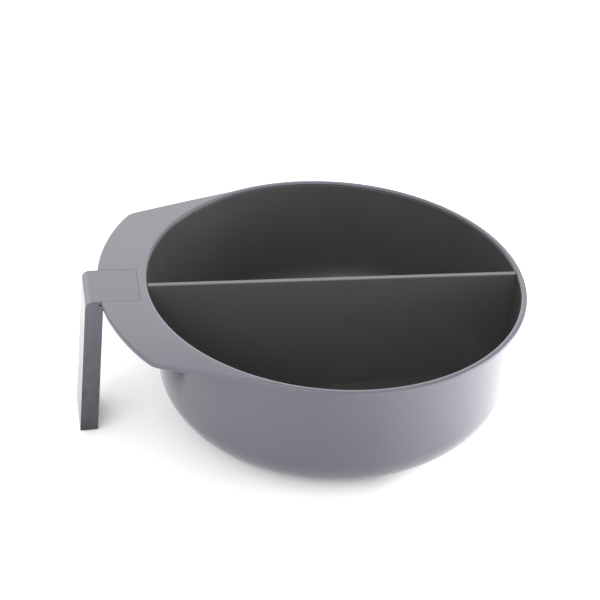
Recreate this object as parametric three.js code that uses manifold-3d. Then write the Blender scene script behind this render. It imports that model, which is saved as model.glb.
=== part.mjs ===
// Hair colour bowl: a round two-compartment mixing bowl with a crescent flange
// and a strap handle that hooks down to the table.
//
// Millimetres, +Z up. The origin is the centre of the foot pad's underside.
// The handle points along -X and the divider lies in the XZ plane.
// The rim plane is tilted, so the handle side stands a little higher.

import * as THREE from 'three';
import { mergeVertices } from 'three/addons/utils/BufferGeometryUtils.js';
import Module from 'manifold-3d';

const wasm = await Module();
wasm.setup();

const degrees = THREE.MathUtils.degToRad;

// ---- Driving dimensions -------------------------------------------------

const CLEARANCE = 0.3;            // between faces that meet
const SEGMENTS = 80;              // round the bowl
const PEG_SEGMENTS = 18;
const MERGE_DISTANCE = 1e-4;      // vertices closer than this are one
const CUTTER = 320;               // side of a trimming box, wider than the whole bowl
const OVERCUT = 5;                // how far a cutter reaches past the face it opens

// Bowl
const RIM_RADIUS = 70;            // outside of the rim
const RIM_HEIGHT = 51;            // centre of the rim plane above the table
const RIM_TILT = degrees(3.5);    // handle side up
const RIM_WIDTH = 2.3;            // flat top of the rim, lip included
const SPARE_HEIGHT = 14;          // walls are drawn this much too high, then trimmed at the rim
const LIP_DEPTH = 0.6;            // lip that hides the liner's edge
const WALL_DRAFT = degrees(8.2);
const SHELL_WALL = 1.0;
const SHELL_CORNER = 19;          // outer radius between wall and base
const FLOOR_THICKNESS = 2.4;      // shell's base
const CAVITY_CORNER = 17;         // inner radius of the shell's wall
const LINER_WALL = RIM_WIDTH - SHELL_WALL - CLEARANCE;

// Foot pad
const PAD_RADIUS = 42;
const PAD_THICKNESS = 1.6;
const PAD_PROUD = 0.6;

// Divider
const DIVIDER_THICKNESS = 2.0;
const DIVIDER_SEAT = 0.3;         // how far its edge enters the liner's slot
const DIVIDER_DROP = 0.1;         // its top edge below the rim plane

// Crescent flange, in the rim plane
const FLANGE_RADIUS = 86;
const FLANGE_THICKNESS = 1.8;
const FLANGE_ARC = degrees(34.5); // half angle of the outer arc
const FLANGE_TANGENT = degrees(70); // where its straight edges touch the rim
const FLANGE_FILLET = degrees(2); // arc given up to each rounded corner

// Handle, in the rim plane's frame
const HANDLE_WIDTH = 20.6;
const HANDLE_OUTER_X = -91;
const HANDLE_INNER_X = -71.4;
const POCKET_DEPTH = 1.3;         // recess in the flange that holds the arm flush
const BEND_RADIUS = 3;
const LEG_DEPTH = 6.5;
const LEG_LEAN = degrees(1.6);    // outward, from the rim plane's normal
const LEG_LENGTH = 62;            // before it is cut level above the table
const LEG_GROUND_GAP = 0.4;
const LEG_WEB = 2.0;
const LEG_SIDE_WALL = 2.2;
const LEG_END_WALL = 2.5;
const PEG_X = -79.5;
const PEG_SPACING = 10;
const PEG_RADIUS = 1.8;

// ---- Solids from three.js geometry ---------------------------------------

function solid(geometry) {
  const bare = geometry.clone();
  bare.deleteAttribute('normal');
  bare.deleteAttribute('uv');
  const merged = mergeVertices(bare, MERGE_DISTANCE);
  const index = merged.index.array;
  const triangles = [];
  for (let i = 0; i < index.length; i += 3) {
    const [a, b, c] = index.slice(i, i + 3);
    if (a !== b && b !== c && c !== a) triangles.push(a, b, c);
  }
  return new wasm.Manifold(new wasm.Mesh({
    numProp: 3,
    vertProperties: new Float32Array(merged.attributes.position.array),
    triVerts: new Uint32Array(triangles),
  }));
}

function namedMesh(name, manifold, material) {
  const { vertProperties, triVerts, numProp } = manifold.getMesh();
  const positions = [];
  for (let i = 0; i < vertProperties.length; i += numProp) {
    positions.push(vertProperties[i], vertProperties[i + 1], vertProperties[i + 2]);
  }
  const geometry = new THREE.BufferGeometry();
  geometry.setAttribute('position', new THREE.Float32BufferAttribute(positions, 3));
  geometry.setIndex(Array.from(triVerts));
  geometry.computeVertexNormals();
  const mesh = new THREE.Mesh(geometry, material);
  mesh.name = name;
  return mesh;
}

// Moves a geometry from the rim plane's frame (rim centre at its origin) to the bowl's.
function fromRimFrame(geometry) {
  return geometry.rotateY(RIM_TILT).translate(0, 0, RIM_HEIGHT);
}

// Everything lower than `depth` under the rim plane.
function belowRim(depth) {
  const box = new THREE.BoxGeometry(CUTTER, CUTTER, CUTTER).translate(0, 0, -CUTTER / 2 - depth);
  return solid(fromRimFrame(box));
}

function disc(radius, bottom, top) {
  const geometry = new THREE.CylinderGeometry(radius, radius, top - bottom, SEGMENTS);
  return geometry.rotateX(Math.PI / 2).translate(0, 0, (bottom + top) / 2);
}

// An outline in the XZ plane, extruded along Y and centred on it.
function plateAlongY(shape, width, curveSegments = 6) {
  const geometry = new THREE.ExtrudeGeometry(shape, {
    depth: width, bevelEnabled: false, curveSegments,
  });
  return geometry.rotateX(Math.PI / 2).translate(0, width / 2, 0);
}

// ---- Bowl ----------------------------------------------------------------

function wallRadius(z, inset) {
  return RIM_RADIUS - inset / Math.cos(WALL_DRAFT) - (RIM_HEIGHT - z) * Math.tan(WALL_DRAFT);
}

// A solid body of revolution: flat base, round corner and drafted wall.
function bowlPlug(inset, baseZ, cornerRadius) {
  const top = RIM_HEIGHT + SPARE_HEIGHT;
  const cornerZ = baseZ + cornerRadius;
  const cornerX = wallRadius(cornerZ, inset) - cornerRadius / Math.cos(WALL_DRAFT);
  const profile = new THREE.Path();
  profile.moveTo(0, baseZ);
  profile.lineTo(cornerX, baseZ);
  profile.absarc(cornerX, cornerZ, cornerRadius, -Math.PI / 2, -WALL_DRAFT, false);
  profile.lineTo(wallRadius(top, inset), top);
  profile.lineTo(0, top);
  const geometry = new THREE.LatheGeometry(profile.getPoints(5), SEGMENTS);
  return solid(geometry.rotateX(Math.PI / 2));
}

// The hollow inside the shell, `extra` smaller all round.
function cavity(extra) {
  return bowlPlug(SHELL_WALL + extra, PAD_PROUD + FLOOR_THICKNESS + extra, CAVITY_CORNER - extra);
}

const throatInset = RIM_WIDTH - SHELL_WALL;

function flangePlate() {
  const corner = (side) => new THREE.Vector2(
    -FLANGE_RADIUS * Math.cos(FLANGE_ARC), side * FLANGE_RADIUS * Math.sin(FLANGE_ARC));
  const tangent = (side) => new THREE.Vector2(
    -RIM_RADIUS * Math.cos(FLANGE_TANGENT), side * RIM_RADIUS * Math.sin(FLANGE_TANGENT));
  const arcEnd = FLANGE_ARC - FLANGE_FILLET;
  const filletLength = FLANGE_RADIUS * FLANGE_FILLET;
  const afterCorner = (side) => {
    const along = tangent(side).sub(corner(side)).normalize();
    return corner(side).addScaledVector(along, filletLength);
  };
  const shape = new THREE.Shape();
  shape.moveTo(tangent(1).x, tangent(1).y);
  shape.lineTo(afterCorner(1).x, afterCorner(1).y);
  shape.quadraticCurveTo(
    corner(1).x, corner(1).y,
    -FLANGE_RADIUS * Math.cos(arcEnd), FLANGE_RADIUS * Math.sin(arcEnd));
  shape.absarc(0, 0, FLANGE_RADIUS, Math.PI - arcEnd, Math.PI + arcEnd, false);
  shape.quadraticCurveTo(corner(-1).x, corner(-1).y, afterCorner(-1).x, afterCorner(-1).y);
  shape.lineTo(tangent(-1).x, tangent(-1).y);
  const geometry = new THREE.ExtrudeGeometry(shape, {
    depth: FLANGE_THICKNESS + OVERCUT, bevelEnabled: false, curveSegments: 12,
  });
  return solid(fromRimFrame(geometry.translate(0, 0, -FLANGE_THICKNESS)));
}

// Flange recess for the handle's arm, open at the flange's edge.
function handlePocket() {
  const inner = HANDLE_INNER_X + CLEARANCE;
  const outer = -FLANGE_RADIUS - OVERCUT;
  const width = HANDLE_WIDTH + 2 * CLEARANCE;
  const box = new THREE.BoxGeometry(inner - outer, width, 2 * POCKET_DEPTH);
  return solid(fromRimFrame(box.translate((inner + outer) / 2, 0, 0)));
}

function pegColumn(side, radius, bottom, top) {
  const geometry = new THREE.CylinderGeometry(radius, radius, top - bottom, PEG_SEGMENTS);
  geometry.rotateX(Math.PI / 2);
  return solid(fromRimFrame(
    geometry.translate(PEG_X, side * PEG_SPACING / 2, (bottom + top) / 2)));
}

function outerBowl() {
  const padRecess = solid(disc(
    PAD_RADIUS + CLEARANCE, -OVERCUT, PAD_THICKNESS + CLEARANCE));
  let shell = bowlPlug(0, PAD_PROUD, SHELL_CORNER).add(flangePlate()).intersect(belowRim(0));
  shell = shell.subtract(cavity(0).intersect(belowRim(LIP_DEPTH)));
  shell = shell.subtract(cavity(throatInset));
  shell = shell.subtract(padRecess).subtract(handlePocket());
  for (const side of [-1, 1]) {
    shell = shell.subtract(
      pegColumn(side, PEG_RADIUS + CLEARANCE, -FLANGE_THICKNESS - OVERCUT, OVERCUT));
  }
  return shell;
}

function dividerSlab(thickness) {
  return solid(new THREE.BoxGeometry(CUTTER, thickness, CUTTER));
}

function innerBowl() {
  const underLip = belowRim(LIP_DEPTH + CLEARANCE);
  const liner = cavity(CLEARANCE).subtract(cavity(CLEARANCE + LINER_WALL)).intersect(underLip);
  const slotDepth = DIVIDER_SEAT + CLEARANCE;
  const slot = cavity(CLEARANCE + LINER_WALL - slotDepth)
    .intersect(dividerSlab(DIVIDER_THICKNESS + 2 * CLEARANCE));
  return liner.subtract(slot);
}

function divider() {
  const seated = cavity(CLEARANCE + LINER_WALL - DIVIDER_SEAT)
    .intersect(belowRim(LIP_DEPTH + 2 * CLEARANCE));
  const throughLip = cavity(throatInset + CLEARANCE).intersect(belowRim(DIVIDER_DROP));
  return seated.add(throughLip).intersect(dividerSlab(DIVIDER_THICKNESS));
}

function basePad() {
  return solid(disc(PAD_RADIUS, 0, PAD_THICKNESS));
}

// ---- Handle --------------------------------------------------------------

// A point of the leg: `down` along it from the rim plane, `inward` from its outer face.
function legPoint(down, inward) {
  return [HANDLE_OUTER_X - down * Math.tan(LEG_LEAN) + inward, -down];
}

function handle() {
  const armBottom = CLEARANCE - POCKET_DEPTH;
  const legTop = FLANGE_THICKNESS + CLEARANCE;
  const besideFlange = -FLANGE_RADIUS - CLEARANCE;

  const side = new THREE.Shape();
  side.moveTo(HANDLE_INNER_X, armBottom);
  side.lineTo(HANDLE_INNER_X, 0);
  side.lineTo(HANDLE_OUTER_X + BEND_RADIUS, 0);
  side.absarc(HANDLE_OUTER_X + BEND_RADIUS, -BEND_RADIUS, BEND_RADIUS,
    Math.PI / 2, Math.PI, false);
  side.lineTo(...legPoint(LEG_LENGTH, 0));
  side.lineTo(...legPoint(LEG_LENGTH, LEG_DEPTH));
  side.lineTo(...legPoint(legTop, LEG_DEPTH));
  side.lineTo(besideFlange, -legTop);
  side.lineTo(besideFlange, armBottom);

  // Channel open towards the bowl, with a wall at each end.
  const channelBottom = (RIM_HEIGHT - HANDLE_OUTER_X * Math.sin(RIM_TILT)
    - LEG_GROUND_GAP - LEG_END_WALL) / Math.cos(RIM_TILT + LEG_LEAN) * Math.cos(LEG_LEAN);
  const channel = new THREE.Shape();
  channel.moveTo(...legPoint(legTop + LEG_WEB, LEG_WEB));
  channel.lineTo(...legPoint(channelBottom, LEG_WEB));
  channel.lineTo(...legPoint(channelBottom, LEG_DEPTH + OVERCUT));
  channel.lineTo(...legPoint(legTop + LEG_WEB, LEG_DEPTH + OVERCUT));

  const aboveTable = solid(new THREE.BoxGeometry(CUTTER, CUTTER, CUTTER)
    .translate(0, 0, CUTTER / 2 + LEG_GROUND_GAP));
  let strap = solid(fromRimFrame(plateAlongY(side, HANDLE_WIDTH)))
    .subtract(solid(fromRimFrame(plateAlongY(channel, HANDLE_WIDTH - 2 * LEG_SIDE_WALL))))
    .intersect(aboveTable);
  for (const end of [-1, 1]) {
    strap = strap.add(pegColumn(end, PEG_RADIUS, -FLANGE_THICKNESS, armBottom / 2));
  }
  return strap;
}

// ---- Assembly ------------------------------------------------------------

const greyPlastic = new THREE.MeshStandardMaterial({ color: 0x85838e, roughness: 0.38, metalness: 0 });
const handlePlastic = new THREE.MeshStandardMaterial({ color: 0x7f7d88, roughness: 0.42, metalness: 0 });
const darkPlastic = new THREE.MeshStandardMaterial({ color: 0x3a3a3c, roughness: 0.45, metalness: 0 });
const dividerPlastic = new THREE.MeshStandardMaterial({ color: 0x424244, roughness: 0.45, metalness: 0 });
const rubber = new THREE.MeshStandardMaterial({ color: 0x202022, roughness: 0.8, metalness: 0 });

const bowl = new THREE.Group();
bowl.add(
  namedMesh('outer_bowl', outerBowl(), greyPlastic),
  namedMesh('inner_bowl', innerBowl(), darkPlastic),
  namedMesh('divider', divider(), dividerPlastic),
  namedMesh('handle', handle(), handlePlastic),
  namedMesh('base_pad', basePad(), rubber),
);

export default bowl;
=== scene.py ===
import math

import bmesh
import bpy
from mathutils import Matrix, Vector


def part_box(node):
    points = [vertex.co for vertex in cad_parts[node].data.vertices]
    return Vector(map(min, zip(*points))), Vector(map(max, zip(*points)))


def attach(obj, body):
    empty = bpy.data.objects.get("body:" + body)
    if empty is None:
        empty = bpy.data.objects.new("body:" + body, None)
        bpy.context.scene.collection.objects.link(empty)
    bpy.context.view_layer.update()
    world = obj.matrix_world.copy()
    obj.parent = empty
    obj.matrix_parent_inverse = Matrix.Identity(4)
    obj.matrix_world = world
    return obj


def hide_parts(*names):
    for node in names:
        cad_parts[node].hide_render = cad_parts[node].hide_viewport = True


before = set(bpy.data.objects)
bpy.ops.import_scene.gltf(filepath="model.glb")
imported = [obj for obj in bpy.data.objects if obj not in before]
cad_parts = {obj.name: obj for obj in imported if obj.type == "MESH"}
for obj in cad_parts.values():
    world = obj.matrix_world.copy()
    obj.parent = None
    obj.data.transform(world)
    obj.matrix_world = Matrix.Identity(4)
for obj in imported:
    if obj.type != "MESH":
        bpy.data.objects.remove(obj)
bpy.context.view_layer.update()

MM = 0.001
TAU = 2 * math.pi

# ---- Driving dimensions, in millimetres ---------------------------------------------

RIM_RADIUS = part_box("outer_bowl")[1].y / MM
PAD_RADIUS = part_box("base_pad")[1].y / MM
PAD_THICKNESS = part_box("base_pad")[1].z / MM
HANDLE_WIDTH = 2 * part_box("handle")[1].y / MM
LEG_GROUND_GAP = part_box("handle")[0].z / MM
BASE_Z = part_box("outer_bowl")[0].z / MM

CLEARANCE = 0.3
RIM_HEIGHT = 51.0
RIM_TILT = math.radians(3.5)          # handle side up
RIM_WIDTH = 2.3
LIP_DEPTH = 0.6
WALL_DRAFT = math.radians(8.2)
SHELL_WALL = 1.0
SHELL_CORNER = 19.0
FLOOR_THICKNESS = 2.4
CAVITY_CORNER = 17.0
LINER_WALL = RIM_WIDTH - SHELL_WALL - CLEARANCE

DIVIDER_THICKNESS = 2.0
DIVIDER_SEAT = 0.3
DIVIDER_DROP = 0.1

FLANGE_RADIUS = 86.0
FLANGE_THICKNESS = 1.8
FLANGE_TANGENT = math.radians(70)     # where its straight edges touch the rim
FLANGE_BLEND = 0.9                    # softness of its two corners

HANDLE_OUTER_X = -91.0
HANDLE_INNER_X = -71.4
POCKET_DEPTH = 1.3
BEND_RADIUS = 3.0
LEG_DEPTH = 6.5
LEG_LEAN = math.radians(1.6)
LEG_LENGTH = 62.0
LEG_WEB = 2.0
LEG_SIDE_WALL = 2.2
LEG_END_WALL = 2.5
PEG_X = -79.5
PEG_SPACING = 10.0
PEG_RADIUS = 1.8

STEPS = 360                           # points round the bowl
ROUND_STEPS = 6                       # steps along a visible round edge
SMALL_ROUND_STEPS = 4                 # along a smaller one
TINY_ROUND_STEPS = 3
REACH_PASSES = 4                      # corrections that bring a point onto the wall
OVERCUT = 5.0                         # how far a cutter reaches past the face it opens
WELD_DISTANCE = 0.002                 # corners closer than this become one

RIM_CENTRE = Vector((0, 0, RIM_HEIGHT))
RIM_X = Vector((math.cos(RIM_TILT), 0, -math.sin(RIM_TILT)))
RIM_UP = Vector((math.sin(RIM_TILT), 0, math.cos(RIM_TILT)))
ACROSS = Vector((0, 1, 0))


# ---- Places -------------------------------------------------------------------------

def from_rim(x, y, depth):
    """A place given in the rim plane's frame, `depth` below the plane."""
    return RIM_CENTRE + x * RIM_X + y * ACROSS - depth * RIM_UP


def rim_point(reach, turn, depth):
    return from_rim(reach * math.cos(turn), reach * math.sin(turn), depth)


def wall_radius(z, inset):
    return RIM_RADIUS - inset / math.cos(WALL_DRAFT) - (RIM_HEIGHT - z) * math.tan(WALL_DRAFT)


def wall_reach(turn, inset, depth):
    """How far from the rim's centre the drafted wall stands, at a depth below the rim."""
    reach = RIM_RADIUS
    for _ in range(REACH_PASSES):
        p = rim_point(reach, turn, depth)
        reach += wall_radius(p.z, inset) - math.hypot(p.x, p.y)
    return reach


def flange_reach(turn):
    """Outline of the crescent: an arc, and a straight edge to the rim on each side."""
    side = abs(turn - math.pi)
    if side > FLANGE_TANGENT:
        return 0.0
    straight = RIM_RADIUS / math.cos(FLANGE_TANGENT - side)
    gap = math.hypot(straight - FLANGE_RADIUS, FLANGE_BLEND)
    return (straight + FLANGE_RADIUS - gap) / 2


def turns():
    return [TAU * i / STEPS for i in range(STEPS)]


def ring(radius, z):
    return [Vector((radius * math.cos(t), radius * math.sin(t), z)) for t in turns()]


def between(low, high, steps):
    """The rows from `low` (left out) to `high`, evenly spaced."""
    return [[a.lerp(b, i / steps) for a, b in zip(low, high)] for i in range(1, steps + 1)]


def straight(start, end, steps):
    """The pairs from `start` (left out) to `end`, evenly spaced."""
    return [tuple(s + (e - s) * i / steps for s, e in zip(start, end))
            for i in range(1, steps + 1)]


def sweep(steps, start=0.0, end=90.0):
    """Angles from `start` to `end`, which are in degrees, evenly spaced."""
    return [math.radians(start + (end - start) * i / steps) for i in range(steps + 1)]


def corner_curve(inset, base_z, corner, steps):
    """Radius and height along a bowl's round corner, from its base up to its wall."""
    centre_z = base_z + corner
    centre_x = wall_radius(centre_z, inset) - corner / math.cos(WALL_DRAFT)
    end = -math.degrees(WALL_DRAFT)
    return [(centre_x + corner * math.cos(a), centre_z + corner * math.sin(a))
            for a in sweep(steps, -90, end)]


# ---- Meshes -------------------------------------------------------------------------

def link(name, mesh):
    piece = bpy.data.objects.new(name, mesh)
    bpy.context.collection.objects.link(piece)
    return piece


def finish_mesh(name, build):
    bmesh.ops.recalc_face_normals(build, faces=build.faces)
    mesh = bpy.data.meshes.new(name)
    build.to_mesh(mesh)
    build.free()
    return link(name, mesh)


def skin(name, rows):
    """A closed body through rings of points; the first and last ring close on a middle point."""
    build = bmesh.new()
    rings = [[build.verts.new(p * MM) for p in row] for row in rows]
    for low, high in zip(rings, rings[1:]):
        for i, corner in enumerate(low):
            j = (i + 1) % len(low)
            build.faces.new((corner, low[j], high[j], high[i]))
    for row, verts in ((rows[0], rings[0]), (rows[-1], rings[-1])):
        middle = build.verts.new(sum(row, Vector()) / len(row) * MM)
        for i, corner in enumerate(verts):
            build.faces.new((corner, verts[(i + 1) % len(verts)], middle))
    return finish_mesh(name, build)


def prism(name, outline, width):
    """An outline of points in the plane y = 0, given a width along Y."""
    build = bmesh.new()
    half = ACROSS * width / 2
    near = [build.verts.new((p - half) * MM) for p in outline]
    far = [build.verts.new((p + half) * MM) for p in outline]
    build.faces.new(near)
    build.faces.new(far)
    for i, corner in enumerate(near):
        j = (i + 1) % len(near)
        build.faces.new((corner, near[j], far[j], far[i]))
    return finish_mesh(name, build)


def block(name, outline, low, high):
    """An outline of (x, y) pairs in the rim plane's frame, given a body between two depths."""
    build = bmesh.new()
    levels = [[build.verts.new(from_rim(x, y, depth) * MM) for x, y in outline]
              for depth in (low, high)]
    for level in levels:
        build.faces.new(level)
    for i in range(len(outline)):
        j = (i + 1) % len(outline)
        build.faces.new((levels[0][i], levels[0][j], levels[1][j], levels[1][i]))
    return finish_mesh(name, build)


def column(x, y, radius, low, high, sides=48):
    """A round column that stands across the rim plane, between two depths."""
    angles = [TAU * i / sides for i in range(sides)]
    outline = [(x + radius * math.cos(a), y + radius * math.sin(a)) for a in angles]
    return block("column", outline, low, high)


def settle(piece):
    """Applies the piece's modifiers."""
    shown = piece.evaluated_get(bpy.context.evaluated_depsgraph_get())
    mesh = bpy.data.meshes.new_from_object(shown)
    piece.modifiers.clear()
    piece.data = mesh


def weld(piece):
    """Merges the corners that a cut leaves almost on top of each other."""
    build = bmesh.new()
    build.from_mesh(piece.data)
    bmesh.ops.remove_doubles(build, verts=build.verts, dist=WELD_DISTANCE * MM)
    build.to_mesh(piece.data)
    build.free()


def combine(piece, tool, operation):
    """Cuts or joins `piece` with `tool`, which is used up."""
    boolean = piece.modifiers.new("boolean", "BOOLEAN")
    boolean.operation = operation
    boolean.solver = "EXACT"
    boolean.object = tool
    settle(piece)
    weld(piece)
    bpy.data.objects.remove(tool)


def soften(piece, width, segments=3, angle=30):
    """Rounds the sharp edges."""
    bevel = piece.modifiers.new("bevel", "BEVEL")
    bevel.width = width * MM
    bevel.segments = segments
    bevel.limit_method = "ANGLE"
    bevel.angle_limit = math.radians(angle)
    bevel.use_clamp_overlap = True
    settle(piece)


def smooth(piece, angle=38):
    """Smooth shading that keeps large flat faces flat and breaks at sharp edges."""
    for face in piece.data.polygons:
        face.use_smooth = True
    piece.data.set_sharp_from_angle(angle=math.radians(angle))
    normals = piece.modifiers.new("normals", "WEIGHTED_NORMAL")
    normals.keep_sharp = True
    normals.weight = 100
    settle(piece)


def dress(piece, node, material):
    """The piece stands for a CAD node, rides on the body and takes its finish."""
    piece.data.materials.clear()
    piece.data.materials.append(material)
    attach(piece, "root")
    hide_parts(node)


# ---- Outer shell --------------------------------------------------------------------

FILLET = 1.2                          # under the flange, where it leaves the wall
EDGE_ROUND = 0.55                     # the flange's outer edge
RIM_ROUND = 0.95                      # the plain rim's outer edge
LIP_ROUND = 0.9                       # the rim's inner edge, across
LIP_ROUND_DEPTH = 0.5                 # the same edge, downwards
FULL_FLANGE = 3.0                     # how wide the flange is once it has its full edge
EDGE_SHARE = 0.4                      # most of a narrow flange that its edge may take
PLAIN_RIM_DROP = 0.25                 # the plain rim's underside, below the flange's
RECESS_LEAD = 0.4                     # round lead-in of the pad's recess
SHELL_CORNER_STEPS = 14
SHELL_WALL_ROWS = 12
UNDERSIDE_STEPS = 4                   # across the flange's underside
RIM_TOP_STEPS = 5                     # across the rim and flange's top
HIDDEN_CORNER_STEPS = 8               # behind the liner
HIDDEN_WALL_ROWS = 5


def shell_edge(turn):
    """Reach and depth of the rim and flange's outline at one turn, from the wall to the throat."""
    flange = flange_reach(turn)

    def outer(depth):
        return max(wall_reach(turn, 0, depth), flange)

    spread = outer(0) - wall_reach(turn, 0, 0)
    share = min(1.0, spread / FULL_FLANGE)
    fillet = min(FILLET, spread / 2)
    edge = min(EDGE_ROUND, spread * EDGE_SHARE)
    top_round = RIM_ROUND + (EDGE_ROUND - RIM_ROUND) * share
    under = FLANGE_THICKNESS + PLAIN_RIM_DROP * (1 - share)
    points = []
    for a in sweep(SMALL_ROUND_STEPS):
        depth = under + FILLET * (1 - math.sin(a))
        points.append((wall_reach(turn, 0, depth) + fillet * (1 - math.cos(a)), depth))
    underside_end = (outer(FLANGE_THICKNESS) - edge, FLANGE_THICKNESS)
    points += straight(points[-1], underside_end, UNDERSIDE_STEPS)
    for a in sweep(SMALL_ROUND_STEPS)[1:]:
        depth = FLANGE_THICKNESS - EDGE_ROUND * (1 - math.cos(a))
        points.append((outer(depth) - edge * (1 - math.sin(a)), depth))
    for a in sweep(ROUND_STEPS):
        depth = top_round * (1 - math.sin(a))
        points.append((outer(depth) - top_round * (1 - math.cos(a)), depth))
    top_end = (wall_reach(turn, RIM_WIDTH, 0) + LIP_ROUND, 0)
    points += straight(points[-1], top_end, RIM_TOP_STEPS)
    for a in sweep(ROUND_STEPS)[1:]:
        depth = LIP_ROUND_DEPTH * (1 - math.cos(a))
        points.append((wall_reach(turn, RIM_WIDTH, depth) + LIP_ROUND * (1 - math.sin(a)), depth))
    points.append((wall_reach(turn, RIM_WIDTH, LIP_DEPTH), LIP_DEPTH))
    points.append((wall_reach(turn, SHELL_WALL, LIP_DEPTH), LIP_DEPTH))
    return points


def shell_rows():
    recess_top = PAD_THICKNESS + CLEARANCE
    recess = PAD_RADIUS + CLEARANCE
    rows = [ring(recess / 2, recess_top), ring(recess, recess_top)]
    for a in sweep(TINY_ROUND_STEPS):
        rows.append(ring(recess + RECESS_LEAD * (1 - math.cos(a)),
                         BASE_Z + RECESS_LEAD * (1 - math.sin(a))))
    rows += [ring(r, z) for r, z in corner_curve(0, BASE_Z, SHELL_CORNER, SHELL_CORNER_STEPS)]
    outlines = [shell_edge(t) for t in turns()]
    rim_rows = [[rim_point(reach, t, depth) for t, (reach, depth) in zip(turns(), level)]
                for level in zip(*outlines)]
    rows += between(rows[-1], rim_rows[0], SHELL_WALL_ROWS)[:-1]
    rows += rim_rows
    inner = [ring(r, z) for r, z in corner_curve(
        SHELL_WALL, BASE_Z + FLOOR_THICKNESS, CAVITY_CORNER, HIDDEN_CORNER_STEPS)]
    rows += between(rows[-1], inner[-1], HIDDEN_WALL_ROWS)[:-1]
    rows += reversed(inner)
    return rows


def add_outer_bowl(material):
    shell = skin("outer_shell", shell_rows())
    pocket = arm_outline(ARM_FIT, -FLANGE_RADIUS - OVERCUT, POCKET_CORNER_STEPS)
    combine(shell, block("pocket", pocket, POCKET_DEPTH, -OVERCUT), "DIFFERENCE")
    for side in (-1, 1):
        hole = column(PEG_X, side * PEG_SPACING / 2, PEG_RADIUS + CLEARANCE,
                      0, FLANGE_THICKNESS + OVERCUT)
        combine(shell, hole, "DIFFERENCE")
    smooth(shell)
    dress(shell, "outer_bowl", material)


# ---- Inner bowl and divider ---------------------------------------------------------

CAVITY_CORNER_STEPS = 12


def cavity_rows(extra, depth, wall_rows):
    """Rows up the shell's hollow, `extra` smaller all round, to a depth below the rim."""
    curve = corner_curve(SHELL_WALL + extra, BASE_Z + FLOOR_THICKNESS + extra,
                         CAVITY_CORNER - extra, CAVITY_CORNER_STEPS)
    rows = [ring(curve[0][0] / 2, curve[0][1])] + [ring(r, z) for r, z in curve]
    top = [rim_point(wall_reach(t, SHELL_WALL + extra, depth), t, depth) for t in turns()]
    return rows + between(rows[-1], top, wall_rows)


def cavity_outline(extra, depth):
    """The same hollow's section in the plane y = 0, from its -X top down and up to its +X top."""
    curve = corner_curve(SHELL_WALL + extra, BASE_Z + FLOOR_THICKNESS + extra,
                         CAVITY_CORNER - extra, CAVITY_CORNER_STEPS)
    reach = [wall_reach(t, SHELL_WALL + extra, depth) for t in (math.pi, 0)]
    points = [rim_point(reach[0], math.pi, depth)]
    points += [Vector((-r, 0, z)) for r, z in reversed(curve)]
    points += [Vector((r, 0, z)) for r, z in curve]
    points.append(rim_point(reach[1], 0, depth))
    return points


LINER_TOP = LIP_DEPTH + CLEARANCE
LINER_OUTSIDE = CLEARANCE
LINER_INSIDE = CLEARANCE + LINER_WALL
LINER_ROUND = 0.3
LINER_OUTSIDE_ROWS = 6
LINER_INSIDE_ROWS = 14
DIVIDER_FIT = 0.03        # visible gap between the divider and the liner


def add_inner_bowl(material):
    outside = cavity_rows(LINER_OUTSIDE, LINER_TOP + LINER_ROUND, LINER_OUTSIDE_ROWS)
    inside = cavity_rows(LINER_INSIDE, LINER_TOP + LINER_ROUND, LINER_INSIDE_ROWS)
    brim = []
    for a in sweep(TINY_ROUND_STEPS)[1:]:
        depth = LINER_TOP + LINER_ROUND * (1 - math.sin(a))
        inset = SHELL_WALL + LINER_OUTSIDE + LINER_ROUND * (1 - math.cos(a))
        brim.append([rim_point(wall_reach(t, inset, depth), t, depth) for t in turns()])
    for a in sweep(TINY_ROUND_STEPS, 90, 0)[:-1]:
        depth = LINER_TOP + LINER_ROUND * (1 - math.sin(a))
        inset = SHELL_WALL + LINER_INSIDE - LINER_ROUND * (1 - math.cos(a))
        brim.append([rim_point(wall_reach(t, inset, depth), t, depth) for t in turns()])
    liner = skin("liner", outside + brim + inside[::-1])
    slot = prism("slot", cavity_outline(LINER_INSIDE - DIVIDER_SEAT - CLEARANCE, 0),
                 DIVIDER_THICKNESS + 2 * DIVIDER_FIT)
    combine(liner, slot, "DIFFERENCE")
    smooth(liner)
    dress(liner, "inner_bowl", material)


DIVIDER_ROUND = 0.4
DIVIDER_ROUND_SEGMENTS = 4


def add_divider(material):
    shoulder = LIP_DEPTH + 2 * CLEARANCE
    throat = RIM_WIDTH + CLEARANCE
    outline = cavity_outline(LINER_INSIDE - DIVIDER_SEAT, shoulder)
    for turn, order in ((0, (shoulder, DIVIDER_DROP)), (math.pi, (DIVIDER_DROP, shoulder))):
        outline += [rim_point(wall_reach(turn, throat, depth), turn, depth) for depth in order]
    wall = prism("divider_wall", outline, DIVIDER_THICKNESS)
    soften(wall, DIVIDER_ROUND, DIVIDER_ROUND_SEGMENTS)
    smooth(wall)
    dress(wall, "divider", material)


# ---- Handle -------------------------------------------------------------------------

ARM_CORNER = 1.2          # round corners at the arm's inner end
ARM_FIT = 0.03            # visible gap between the strap and the flange
STRAP_ROUND = 0.2
STRAP_SHARP = 25          # degrees; blunter edges stay as they are
BEND_STEPS = 10
POCKET_CORNER_STEPS = 5


def arm_outline(extra, outer, steps):
    """The arm from above, `extra` larger all round, from `outer` to its round inner corners."""
    inner = HANDLE_INNER_X + extra
    half = HANDLE_WIDTH / 2 + extra
    corner = ARM_CORNER + extra
    outline = [(outer, -half), (outer, half)]
    for a in sweep(steps, 90, 0):
        outline.append((inner - corner * (1 - math.cos(a)), half - corner * (1 - math.sin(a))))
    for a in sweep(steps, 0, -90):
        outline.append((inner - corner * (1 - math.cos(a)), -half + corner * (1 + math.sin(a))))
    return outline


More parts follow.
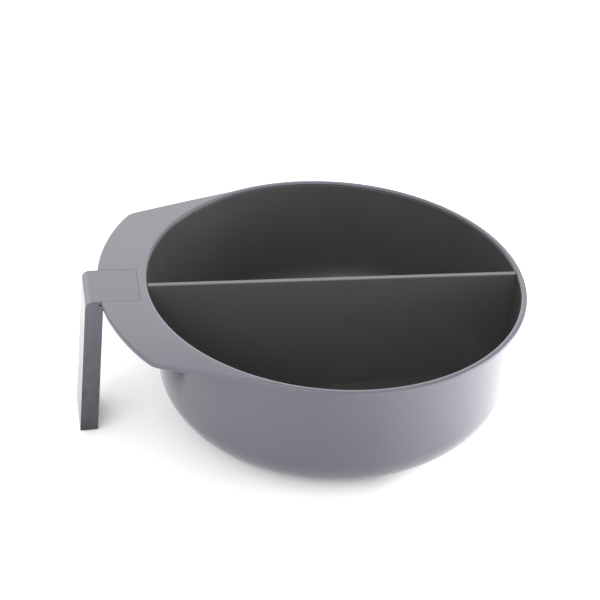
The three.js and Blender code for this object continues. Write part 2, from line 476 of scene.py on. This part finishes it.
def leg_point(down, inward):
    return from_rim(HANDLE_OUTER_X - down * math.tan(LEG_LEAN) + inward, 0, down)


def handle_side():
    """The strap's section: a thin arm, left too long, a round bend, and a leg down to the table."""
    arm_bottom = POCKET_DEPTH - ARM_FIT
    leg_top = FLANGE_THICKNESS + ARM_FIT
    beside_flange = -FLANGE_RADIUS - ARM_FIT
    arm_end = HANDLE_INNER_X + OVERCUT
    points = [from_rim(arm_end, 0, arm_bottom), from_rim(arm_end, 0, 0)]
    for a in sweep(BEND_STEPS, 90, 180):
        points.append(from_rim(HANDLE_OUTER_X + BEND_RADIUS * (1 + math.cos(a)), 0,
                               BEND_RADIUS * (1 - math.sin(a))))
    points += [leg_point(LEG_LENGTH, 0), leg_point(LEG_LENGTH, LEG_DEPTH)]
    points += [leg_point(leg_top, LEG_DEPTH), from_rim(beside_flange, 0, leg_top),
               from_rim(beside_flange, 0, arm_bottom)]
    return points


def leg_channel():
    """The hollow on the leg's bowl side, with a wall at each end."""
    top = FLANGE_THICKNESS + CLEARANCE + LEG_WEB
    height = RIM_HEIGHT - HANDLE_OUTER_X * math.sin(RIM_TILT) - LEG_GROUND_GAP - LEG_END_WALL
    bottom = height / math.cos(RIM_TILT + LEG_LEAN) * math.cos(LEG_LEAN)
    return [leg_point(top, LEG_WEB), leg_point(bottom, LEG_WEB),
            leg_point(bottom, LEG_DEPTH + OVERCUT), leg_point(top, LEG_DEPTH + OVERCUT)]


def below_ground_gap():
    reach = 3 * RIM_RADIUS
    corners = ((-reach, -reach), (reach, -reach), (reach, LEG_GROUND_GAP), (-reach, LEG_GROUND_GAP))
    return [Vector((x, 0, z)) for x, z in corners]


def add_handle(material):
    """The strap is made too wide and too long, and its outline from above then trims it."""
    strap = prism("strap_handle", handle_side(), HANDLE_WIDTH + 2 * OVERCUT)
    plan = arm_outline(0, HANDLE_OUTER_X - OVERCUT, ROUND_STEPS)
    combine(strap, block("plan", plan, LEG_LENGTH + OVERCUT, -OVERCUT), "INTERSECT")
    combine(strap, prism("channel", leg_channel(), HANDLE_WIDTH - 2 * LEG_SIDE_WALL), "DIFFERENCE")
    combine(strap, prism("ground", below_ground_gap(), 2 * HANDLE_WIDTH), "DIFFERENCE")
    soften(strap, STRAP_ROUND, angle=STRAP_SHARP)
    for side in (-1, 1):
        peg = column(PEG_X, side * PEG_SPACING / 2, PEG_RADIUS,
                     POCKET_DEPTH - 2 * CLEARANCE, FLANGE_THICKNESS)
        combine(strap, peg, "UNION")
    smooth(strap)
    dress(strap, "handle", material)


# ---- Base pad -----------------------------------------------------------------------

RIB_PITCH = 3.0
RIB_DEPTH = 0.45
RIB_STEPS = 10
PAD_ROUND = 0.4


def add_base_pad(material):
    """A rubber disc with round ribs underneath; their lands are flat on the table."""
    rows = []
    flat = PAD_RADIUS - 2 * PAD_ROUND
    count = int(flat / RIB_PITCH)
    for i in range(1, count * RIB_STEPS + 1):
        radius = flat * i / (count * RIB_STEPS)
        groove = max(0.0, -math.cos(TAU * i / RIB_STEPS))
        rows.append(ring(radius, RIB_DEPTH * groove))
    for a in sweep(SMALL_ROUND_STEPS):
        rows.append(ring(PAD_RADIUS - PAD_ROUND * (1 - math.sin(a)), PAD_ROUND * (1 - math.cos(a))))
    for a in sweep(SMALL_ROUND_STEPS):
        rows.append(ring(PAD_RADIUS - PAD_ROUND * (1 - math.cos(a)),
                         PAD_THICKNESS - PAD_ROUND * (1 - math.sin(a))))
    pad = skin("foot_pad", rows)
    smooth(pad)
    dress(pad, "base_pad", material)


# ---- Materials ----------------------------------------------------------------------

class Nodes:
    """Short calls to wire up one material's nodes."""

    def __init__(self, name):
        self.material = bpy.data.materials.new(name)
        self.material.use_nodes = True
        self.tree = self.material.node_tree
        self.shader = self.tree.nodes["Principled BSDF"]
        self.place = self.add("ShaderNodeTexCoord").outputs["Object"]

    def add(self, kind, **settings):
        node = self.tree.nodes.new(kind)
        for key, value in settings.items():
            setattr(node, key, value)
        return node

    def join(self, source, target):
        self.tree.links.new(source, target)

    def scaled(self, scale, turn=(0, 0, 0)):
        """The place, stretched and turned."""
        mapping = self.add("ShaderNodeMapping")
        mapping.inputs["Scale"].default_value = scale
        mapping.inputs["Rotation"].default_value = turn
        self.join(self.place, mapping.inputs["Vector"])
        return mapping.outputs["Vector"]

    def noise(self, scale, detail=3.0, roughness=0.5, vector=None):
        node = self.add("ShaderNodeTexNoise")
        node.inputs["Scale"].default_value = scale
        node.inputs["Detail"].default_value = detail
        node.inputs["Roughness"].default_value = roughness
        self.join(vector or self.place, node.inputs["Vector"])
        return node.outputs["Fac"]

    def span(self, value, low, high, to_low, to_high):
        """Maps a value from one span to another, and stops at its ends."""
        node = self.add("ShaderNodeMapRange")
        for name, number in zip(("From Min", "From Max", "To Min", "To Max"),
                                (low, high, to_low, to_high)):
            node.inputs[name].default_value = number
        self.join(value, node.inputs["Value"])
        return node.outputs["Result"]

    def math(self, operation, a, b):
        node = self.add("ShaderNodeMath", operation=operation)
        for socket, value in zip(node.inputs, (a, b)):
            if isinstance(value, (int, float)):
                socket.default_value = value
            else:
                self.join(value, socket)
        return node.outputs[0]

    def blend(self, share, low, high):
        """A colour between two colours; each is a triple or another node's output.

        A Mix node holds a socket of each kind, and its colours are inputs 6 and 7 and output 2.
        """
        node = self.add("ShaderNodeMix", data_type="RGBA")
        self.join(share, node.inputs["Factor"])
        for socket, colour in ((node.inputs[6], low), (node.inputs[7], high)):
            if isinstance(colour, tuple):
                socket.default_value = (*colour, 1)
            else:
                self.join(colour, socket)
        return node.outputs[2]

    def bump(self, height, strength, distance, below=None):
        node = self.add("ShaderNodeBump")
        node.inputs["Strength"].default_value = strength
        node.inputs["Distance"].default_value = distance
        self.join(height, node.inputs["Height"])
        if below is not None:
            self.join(below, node.inputs["Normal"])
        return node.outputs["Normal"]


def scuffs(nodes, scale, stretch, turn):
    """Sparse thin marks, 0 to 1."""
    lines = nodes.noise(scale, detail=2.0, vector=nodes.scaled(stretch, turn))
    patches = nodes.noise(45.0, detail=2.0)
    thin = nodes.span(lines, 0.60, 0.74, 0.0, 1.0)
    return nodes.math("MULTIPLY", thin, nodes.span(patches, 0.45, 0.70, 0.0, 1.0))


PLASTIC_IOR = 1.5
FOOT_SHADE_FADE = (0.002, 0.052)            # heights, in metres, where the painted shade at the foot is full and gone
FOOT_SHADE_SHARE = 0.9                      # how much of the painted shade at the foot shows where it is full


def moulded_plastic(name, colour, shade, worn, gloss, foot_shade=None):
    """Satin moulded plastic: slow colour drift, fine grain, faint scuffs and worn edges.

    Painted shade: a dark colour, where one is given, takes over gradually towards the table.
    """
    nodes = Nodes(name)
    drift = nodes.noise(28.0)
    speck = nodes.noise(2600.0, detail=2.0)
    marks = scuffs(nodes, 160.0, stretch=(1.0, 9.0, 1.0), turn=(0.3, 0.2, 0.9))
    cross = scuffs(nodes, 140.0, stretch=(8.0, 1.0, 1.0), turn=(0.1, 0.4, 0.3))
    wear = nodes.math("MAXIMUM", marks, cross)
    edge = nodes.add("ShaderNodeNewGeometry").outputs["Pointiness"]
    rubbed = nodes.math("MULTIPLY", nodes.span(edge, 0.505, 0.54, 0.0, 1.0),
                        nodes.span(nodes.noise(220.0, detail=4.0), 0.35, 0.65, 0.2, 1.0))

    base = nodes.blend(nodes.span(drift, 0.35, 0.65, 0.0, 1.0), shade, colour)
    base = nodes.blend(nodes.span(speck, 0.30, 0.70, 0.0, 0.35), base, worn)
    # painted shade: the colour darkens towards the table
    if foot_shade:
        height = nodes.add("ShaderNodeSeparateXYZ")
        nodes.join(nodes.place, height.inputs["Vector"])
        shade_near_foot = nodes.span(height.outputs["Z"], *FOOT_SHADE_FADE, FOOT_SHADE_SHARE, 0.0)
        base = nodes.blend(shade_near_foot, base, foot_shade)
    base = nodes.blend(nodes.math("MULTIPLY", wear, 0.15), base, worn)
    base = nodes.blend(nodes.math("MULTIPLY", rubbed, 0.4), base, worn)
    nodes.join(base, nodes.shader.inputs["Base Color"])

    low, high = gloss
    rough = nodes.span(nodes.noise(60.0, detail=4.0), 0.3, 0.7, low, high)
    rough = nodes.math("ADD", rough, nodes.math("MULTIPLY", wear, 0.04))
    rough = nodes.math("ADD", rough, nodes.math("MULTIPLY", rubbed, 0.05))
    nodes.join(rough, nodes.shader.inputs["Roughness"])

    grain = nodes.noise(2600.0, roughness=0.6)
    texture = nodes.bump(grain, strength=0.10, distance=0.00005)
    ripple = nodes.bump(nodes.noise(38.0, detail=1.0), strength=0.05, distance=0.0006,
                        below=texture)
    scratched = nodes.bump(wear, strength=0.02, distance=0.00002, below=ripple)
    nodes.join(scratched, nodes.shader.inputs["Normal"])
    nodes.shader.inputs["IOR"].default_value = PLASTIC_IOR
    return nodes.material


def dark_plastic(name, colour, shade, worn, gloss):
    """Charcoal plastic with soft cloudy wear and its own fine grain."""
    nodes = Nodes(name)
    drift = nodes.noise(24.0)
    speck = nodes.noise(2400.0, detail=2.0)
    edge = nodes.add("ShaderNodeNewGeometry").outputs["Pointiness"]
    bright = nodes.span(edge, 0.51, 0.55, 0.0, 0.5)

    base = nodes.blend(nodes.span(drift, 0.35, 0.65, 0.0, 1.0), shade, colour)
    base = nodes.blend(nodes.span(speck, 0.30, 0.70, 0.0, 0.3), base, worn)
    base = nodes.blend(bright, base, worn)
    nodes.join(base, nodes.shader.inputs["Base Color"])

    low, high = gloss
    cloud = nodes.noise(50.0, detail=2.0)
    nodes.join(nodes.span(cloud, 0.2, 0.8, low, high), nodes.shader.inputs["Roughness"])

    grain = nodes.noise(3200.0, roughness=0.6)
    texture = nodes.bump(grain, strength=0.12, distance=0.00005)
    nodes.join(texture, nodes.shader.inputs["Normal"])
    nodes.shader.inputs["IOR"].default_value = PLASTIC_IOR
    return nodes.material


def foot_rubber():
    """Matte black rubber with dust in its grain."""
    nodes = Nodes("foot_rubber")
    dust = nodes.span(nodes.noise(90.0, detail=5.0), 0.5, 0.75, 0.0, 0.5)
    base = nodes.blend(nodes.span(nodes.noise(30.0), 0.35, 0.65, 0.0, 1.0),
                       (0.014, 0.014, 0.015), (0.024, 0.024, 0.025))
    nodes.join(nodes.blend(dust, base, (0.075, 0.073, 0.070)), nodes.shader.inputs["Base Color"])
    nodes.join(nodes.span(nodes.noise(400.0, detail=4.0), 0.3, 0.7, 0.68, 0.9),
               nodes.shader.inputs["Roughness"])
    grain = nodes.noise(1800.0, detail=4.0, roughness=0.65)
    nodes.join(nodes.bump(grain, strength=0.35, distance=0.0001), nodes.shader.inputs["Normal"])
    return nodes.material


# ---- Camera, floor and light --------------------------------------------------------

VIEW_CENTRE = Vector((-0.6, 0, RIM_HEIGHT)) * MM
VIEW_UNIT = wall_reach(math.pi / 2, RIM_WIDTH, 0) * MM
VIEW_AZIMUTH = math.radians(-8.58)
VIEW_ELEVATION = math.radians(34.20)
VIEW_DISTANCE = 11 * VIEW_UNIT
VIEW_SHIFT_RIGHT = 0.1831 * VIEW_UNIT
VIEW_SHIFT_UP = 0.1154 * VIEW_UNIT
VIEW_LENS = 123.66
VIEW_SENSOR = 36
FLOOR_SIZE = 8
FLOOR_COLOUR = (0.86, 0.86, 0.865, 1)
FLOOR_ROUGHNESS = 0.95
WHITE = (1, 1, 1, 1)
GLOW_SPAN = (0.005, 0.13)             # where the floor's glow grows, along X
GLOW = (0.12, 2.8)                    # its strength at each end
ROOM_BRIGHTNESS = 1.45
LIGHT_TARGET = Vector((0, 0, 0.03))


def add_camera():
    back = Vector((math.sin(VIEW_AZIMUTH) * math.cos(VIEW_ELEVATION),
                   -math.cos(VIEW_AZIMUTH) * math.cos(VIEW_ELEVATION),
                   math.sin(VIEW_ELEVATION)))
    right = Vector((0, 0, 1)).cross(back).normalized()
    up = back.cross(right)
    place = VIEW_CENTRE + back * VIEW_DISTANCE - right * VIEW_SHIFT_RIGHT - up * VIEW_SHIFT_UP
    data = bpy.data.cameras.new("camera")
    data.sensor_width = VIEW_SENSOR
    data.lens = VIEW_LENS
    camera = bpy.data.objects.new("camera", data)
    bpy.context.collection.objects.link(camera)
    turn = Matrix((right, up, back)).transposed().to_4x4()
    camera.matrix_world = Matrix.Translation(place) @ turn
    bpy.context.scene.camera = camera


def add_floor():
    bpy.ops.mesh.primitive_plane_add(size=FLOOR_SIZE)
    floor = bpy.context.object
    floor.name = "floor"
    nodes = Nodes("floor")
    nodes.shader.inputs["Base Color"].default_value = FLOOR_COLOUR
    nodes.shader.inputs["Roughness"].default_value = FLOOR_ROUGHNESS
    nodes.shader.inputs["Emission Color"].default_value = WHITE
    across = nodes.add("ShaderNodeSeparateXYZ")
    nodes.join(nodes.place, across.inputs["Vector"])
    glow = nodes.span(across.outputs["X"], *GLOW_SPAN, *GLOW)
    nodes.join(glow, nodes.shader.inputs["Emission Strength"])
    floor.data.materials.append(nodes.material)


def add_softbox(name, place, width, height, power):
    data = bpy.data.lights.new(name, "AREA")
    data.shape = "RECTANGLE"
    data.size = width
    data.size_y = height
    data.energy = power
    lamp = bpy.data.objects.new(name, data)
    bpy.context.collection.objects.link(lamp)
    aim = LIGHT_TARGET - Vector(place)
    lamp.rotation_mode = "QUATERNION"
    lamp.rotation_quaternion = aim.to_track_quat("-Z", "Y")
    lamp.location = place
    lamp.visible_camera = False


def add_light():
    world = bpy.data.worlds.new("studio")
    bpy.context.scene.world = world
    world.use_nodes = True
    background = world.node_tree.nodes["Background"]
    background.inputs["Color"].default_value = WHITE
    background.inputs["Strength"].default_value = ROOM_BRIGHTNESS
    add_softbox("right_softbox", (0.9, -0.1, 0.20), width=0.7, height=0.3, power=5)
    add_softbox("back_softbox", (-0.15, 1.0, 0.45), width=1.5, height=0.6, power=4)
    add_softbox("front_softbox", (-0.60, -0.8, 0.85), width=1.0, height=0.5, power=5)
    bpy.context.scene.view_settings.view_transform = "Standard"


add_camera()
add_outer_bowl(moulded_plastic(
    "grey_shell", (0.080, 0.079, 0.100), (0.072, 0.071, 0.090), (0.106, 0.104, 0.124),
    gloss=(0.11, 0.17)))
add_inner_bowl(dark_plastic(
    "dark_liner", (0.044, 0.044, 0.044), (0.040, 0.040, 0.040), (0.056, 0.056, 0.056),
    gloss=(0.29, 0.38)))
# painted light: the divider's colours are lighter than the liner's, standing in for the light that
# falls on its near face
add_divider(dark_plastic(
    "dark_divider", (0.060, 0.060, 0.060), (0.053, 0.053, 0.053), (0.085, 0.085, 0.085),
    gloss=(0.29, 0.36)))
# the handle gets painted shade that darkens it towards its foot
add_handle(moulded_plastic(
    "grey_handle", (0.074, 0.073, 0.092), (0.071, 0.070, 0.088), (0.090, 0.088, 0.106),
    gloss=(0.14, 0.16), foot_shade=(0.012, 0.012, 0.013)))
add_base_pad(foot_rubber())
add_floor()
add_light()
